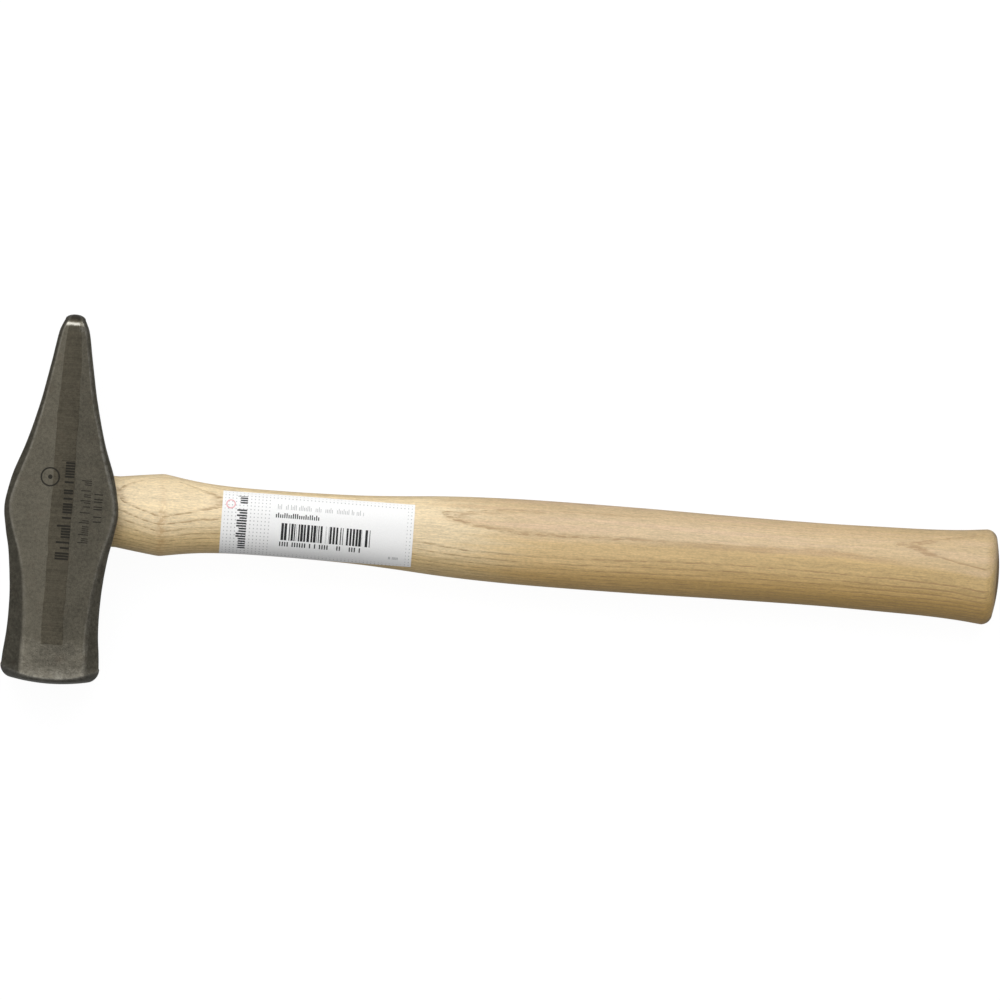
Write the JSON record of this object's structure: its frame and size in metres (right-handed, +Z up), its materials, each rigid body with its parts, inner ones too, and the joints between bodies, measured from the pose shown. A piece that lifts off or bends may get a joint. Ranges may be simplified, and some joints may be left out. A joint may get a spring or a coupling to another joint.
{
  "type": "cross peen hammer",
  "caption": "Blacksmith's cross peen hammer: forged steel head with a square face and a wedge peen, oval eye, wedged hickory handle with a flared butt, and a paper label.",
  "frame": {"origin": "on the flat ground strip of the lower cheek, directly under the centre of the eye", "axes": "+X along the handle from head to butt, +Y along the head from the striking face to the peen, +Z up from the cheek that the hammer lies on to the other cheek"},
  "size_m": [0.3999, 0.1485, 0.038],
  "materials": {
    "forged_steel": "satin",
    "hickory": "satin",
    "wedge_beech": "matte",
    "wedge_steel": "satin",
    "label_paper": "matte"
  },
  "bodies": {
    "root": {"head": "forged_steel", "handle": "hickory", "wooden_wedge": "wedge_beech", "ring_wedge": "wedge_steel", "label": "label_paper"}
  },
  "joints": []
}
